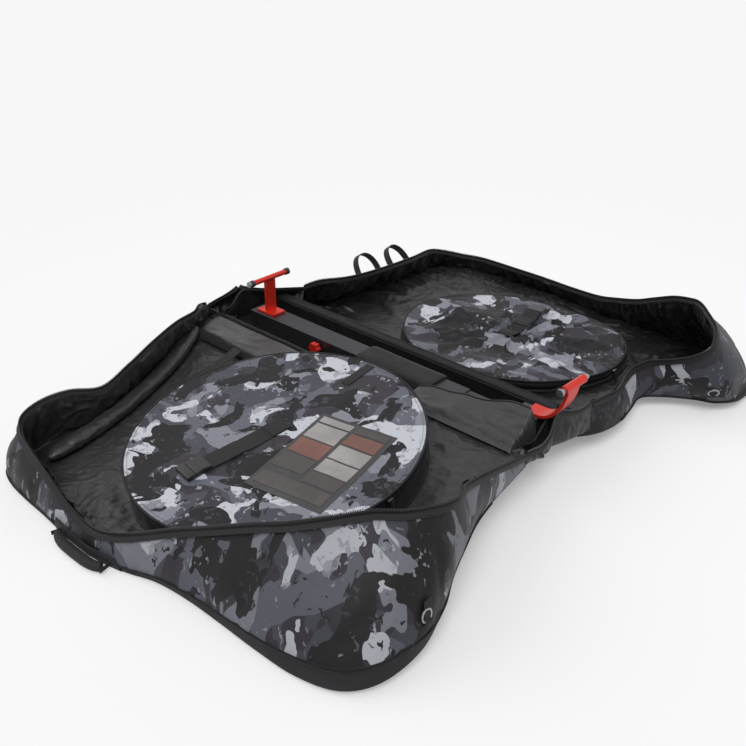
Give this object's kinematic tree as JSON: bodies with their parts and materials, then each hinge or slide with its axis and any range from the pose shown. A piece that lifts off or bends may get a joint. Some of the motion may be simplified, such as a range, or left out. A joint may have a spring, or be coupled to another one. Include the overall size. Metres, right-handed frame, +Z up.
{
  "type": "soft bike travel bag",
  "caption": "Clamshell bicycle travel bag opened flat, with zipped wheel bags, a telescopic rail with axle mounts and swivel castors.",
  "frame": {"origin": "bottom centre of the opened bag's bounding box, on the floor", "axes": "+X towards the front of the base, where the fork mount is; +Y across, towards the far half; +Z up"},
  "size_m": [1.294, 1.872, 0.2744],
  "materials": {
    "black_fabric": "black nylon fabric",
    "printed_fabric": "grey camouflage print on woven fabric",
    "webbing": "black woven webbing",
    "zip": "black coil zip with fabric binding",
    "black_plastic": "black moulded plastic",
    "patch": "plain grey sewn patch",
    "dark_alloy": "dark anodised aluminium",
    "red_alloy": "red anodised aluminium",
    "steel": "plated steel",
    "tyre": "black rubber tread"
  },
  "bodies": {
    "base": {"base_pan": "black_fabric", "outer_rail": "dark_alloy", "rail_sleeve": "black_fabric", "rear_mount": "red_alloy", "rear_near_cap": "black_plastic", "rear_far_cap": "black_plastic", "near_tie_strap": "webbing", "far_tie_strap": "webbing", "rear_near_castor_plate": "steel", "rear_far_castor_plate": "steel", "front_near_castor_plate": "steel", "front_far_castor_plate": "steel"},
    "clamp_knob": {"rail_clamp_knob": "red_alloy"},
    "front_mount": {"inner_rail": "dark_alloy", "mount_block": "black_plastic", "fork_mount": "red_alloy"},
    "rear_axle": {"rear_axle": "steel"},
    "fork_axle": {"fork_axle": "steel"},
    "near_half": {"near_shell": "printed_fabric", "near_hinge_piping": "black_fabric", "near_rim_zip": "zip", "near_wheel_bag": "black_fabric", "near_retaining_band": "webbing", "front_zip_slider": "steel", "rear_zip_slider": "steel"},
    "near_lid": {"near_wheel_lid": "printed_fabric", "near_lid_strap": "webbing", "near_buckle_socket": "black_plastic", "near_lid_patch": "patch", "near_lid_tab": "webbing"},
    "near_plug": {"near_buckle_plug": "black_plastic"},
    "near_slider": {"near_lid_slider": "steel"},
    "near_slider_pull": {"near_lid_pull": "webbing"},
    "near_handle": {"near_grab_handle": "webbing"},
    "near_ring": {"near_corner_ring": "steel"},
    "far_half": {"far_shell": "printed_fabric", "far_hinge_piping": "black_fabric", "far_rim_zip": "zip", "far_wheel_bag": "black_fabric", "far_rear_loop": "webbing", "far_outer_loop": "webbing"},
    "far_lid": {"far_wheel_lid": "printed_fabric", "far_lid_strap": "webbing", "far_buckle_socket": "black_plastic"},
    "far_plug": {"far_buckle_plug": "black_plastic"},
    "far_slider": {"far_lid_slider": "steel"},
    "far_slider_pull": {"far_lid_pull": "webbing"},
    "far_handle": {"far_grab_handle": "webbing"},
    "far_ring": {"far_corner_ring": "steel"},
    "front_pull": {"front_zip_slider_pull": "webbing"},
    "rear_pull": {"rear_zip_slider_pull": "webbing"},
    "rear_near_castor_fork": {"rear_near_castor_fork": "dark_alloy"},
    "rear_near_castor_wheel": {"rear_near_castor_wheel": "tyre"},
    "rear_far_castor_fork": {"rear_far_castor_fork": "dark_alloy"},
    "rear_far_castor_wheel": {"rear_far_castor_wheel": "tyre"},
    "front_near_castor_fork": {"front_near_castor_fork": "dark_alloy"},
    "front_near_castor_wheel": {"front_near_castor_wheel": "tyre"},
    "front_far_castor_fork": {"front_far_castor_fork": "dark_alloy"},
    "front_far_castor_wheel": {"front_far_castor_wheel": "tyre"}
  },
  "joints": [
    {"name": "clamp_knob_turn", "type": "hinge", "parent": "base", "child": "clamp_knob", "pos_m": [-0.282, -0.0438, 0.0928], "axis": [0, 1, 0], "continuous": true},
    {"name": "rail_slide", "type": "slide", "parent": "base", "child": "front_mount", "axis": [1, 0, 0], "range_m": [-0.06, 0]},
    {"name": "rear_axle_slide", "type": "slide", "parent": "base", "child": "rear_axle", "axis": [0, 1, 0], "range_m": [-0.15, 0]},
    {"name": "fork_axle_slide", "type": "slide", "parent": "front_mount", "child": "fork_axle", "axis": [0, 1, 0], "range_m": [-0.11, 0]},
    {"name": "near_half_hinge", "type": "hinge", "parent": "base", "child": "near_half", "pos_m": [0, -0.1043, 0.107], "axis": [-1, 0, 0], "range_deg": [0, 80]},
    {"name": "near_lid_hinge", "type": "hinge", "parent": "near_half", "child": "near_lid", "pos_m": [0.35741, -0.37583, 0.1444], "axis": [0.2588, -0.9576, -0.1264], "range_deg": [-100, 0]},
    {"name": "near_plug_slide", "type": "slide", "parent": "near_lid", "child": "near_plug", "axis": [0.1392, 0.9818, 0.1296], "range_m": [-0.03, 0]},
    {"name": "near_slider_travel", "type": "hinge", "parent": "near_half", "child": "near_slider", "pos_m": [0.029, -0.46225, 0.12664], "axis": [0, -0.1308, 0.9914], "range_deg": [-300, 0]},
    {"name": "near_slider_pull_hinge", "type": "hinge", "parent": "near_slider", "child": "near_slider_pull", "pos_m": [0.3796, -0.46225, 0.12664], "axis": [0, -0.9914, -0.1308], "range_deg": [0, 85]},
    {"name": "near_handle_hinge", "type": "hinge", "parent": "near_half", "child": "near_handle", "pos_m": [-0.08871, -0.9095, 0.0113], "axis": [-1, 0, 0], "range_deg": [0, 65]},
    {"name": "near_ring_hinge", "type": "hinge", "parent": "near_half", "child": "near_ring", "pos_m": [0.63069, -0.64596, 0.08972], "axis": [-0.0484, 0.995, 0.0879], "range_deg": [0, 60]},
    {"name": "far_half_hinge", "type": "hinge", "parent": "base", "child": "far_half", "pos_m": [0, 0.1043, 0.107], "axis": [1, 0, 0], "range_deg": [0, 86]},
    {"name": "far_lid_hinge", "type": "hinge", "parent": "far_half", "child": "far_lid", "pos_m": [0.34293, 0.36914, 0.07271], "axis": [-0.2588, -0.9635, 0.069], "range_deg": [-100, 0]},
    {"name": "far_plug_slide", "type": "slide", "parent": "far_lid", "child": "far_plug", "axis": [0.1392, -0.9877, 0.0708], "range_m": [-0.03, 0]},
    {"name": "far_slider_travel", "type": "hinge", "parent": "far_half", "child": "far_slider", "pos_m": [0.029, 0.45259, 0.06042], "axis": [0, -0.0715, -0.9974], "range_deg": [-300, 0]},
    {"name": "far_slider_pull_hinge", "type": "hinge", "parent": "far_slider", "child": "far_slider_pull", "pos_m": [0.3646, 0.45259, 0.06042], "axis": [0, -0.9974, 0.0715], "range_deg": [0, 85]},
    {"name": "far_handle_hinge", "type": "hinge", "parent": "far_half", "child": "far_handle", "pos_m": [-0.18962, 0.903, 0.0113], "axis": [1, 0, 0], "range_deg": [0, 65]},
    {"name": "far_ring_hinge", "type": "hinge", "parent": "far_half", "child": "far_ring", "pos_m": [0.61234, 0.50503, 0.06296], "axis": [0.8084, 0.5853, 0.0619], "range_deg": [0, 60]},
    {"name": "front_pull_hinge", "type": "hinge", "parent": "near_half", "child": "front_pull", "pos_m": [0.49247, -0.1772, 0.17019], "axis": [-0.9879, -0.1548, -0.0043], "range_deg": [0, 120]},
    {"name": "rear_pull_hinge", "type": "hinge", "parent": "near_half", "child": "rear_pull", "pos_m": [-0.58376, -0.18376, 0.17551], "axis": [-0.6409, -0.4722, 0.6052], "range_deg": [0, 120]},
    {"name": "rear_near_castor_swivel", "type": "hinge", "parent": "base", "child": "rear_near_castor_fork", "pos_m": [-0.477, -0.072, 0], "axis": [0, 0, 1], "continuous": true},
    {"name": "rear_near_castor_roll", "type": "hinge", "parent": "rear_near_castor_fork", "child": "rear_near_castor_wheel", "pos_m": [-0.489, -0.072, 0.024], "axis": [0, 1, 0], "continuous": true},
    {"name": "rear_far_castor_swivel", "type": "hinge", "parent": "base", "child": "rear_far_castor_fork", "pos_m": [-0.477, 0.072, 0], "axis": [0, 0, 1], "continuous": true},
    {"name": "rear_far_castor_roll", "type": "hinge", "parent": "rear_far_castor_fork", "child": "rear_far_castor_wheel", "pos_m": [-0.489, 0.072, 0.024], "axis": [0, 1, 0], "continuous": true},
    {"name": "front_near_castor_swivel", "type": "hinge", "parent": "base", "child": "front_near_castor_fork", "pos_m": [0.333, -0.072, 0], "axis": [0, 0, 1], "continuous": true},
    {"name": "front_near_castor_roll", "type": "hinge", "parent": "front_near_castor_fork", "child": "front_near_castor_wheel", "pos_m": [0.321, -0.072, 0.024], "axis": [0, 1, 0], "continuous": true},
    {"name": "front_far_castor_swivel", "type": "hinge", "parent": "base", "child": "front_far_castor_fork", "pos_m": [0.333, 0.072, 0], "axis": [0, 0, 1], "continuous": true},
    {"name": "front_far_castor_roll", "type": "hinge", "parent": "front_far_castor_fork", "child": "front_far_castor_wheel", "pos_m": [0.321, 0.072, 0.024], "axis": [0, 1, 0], "continuous": true}
  ]
}
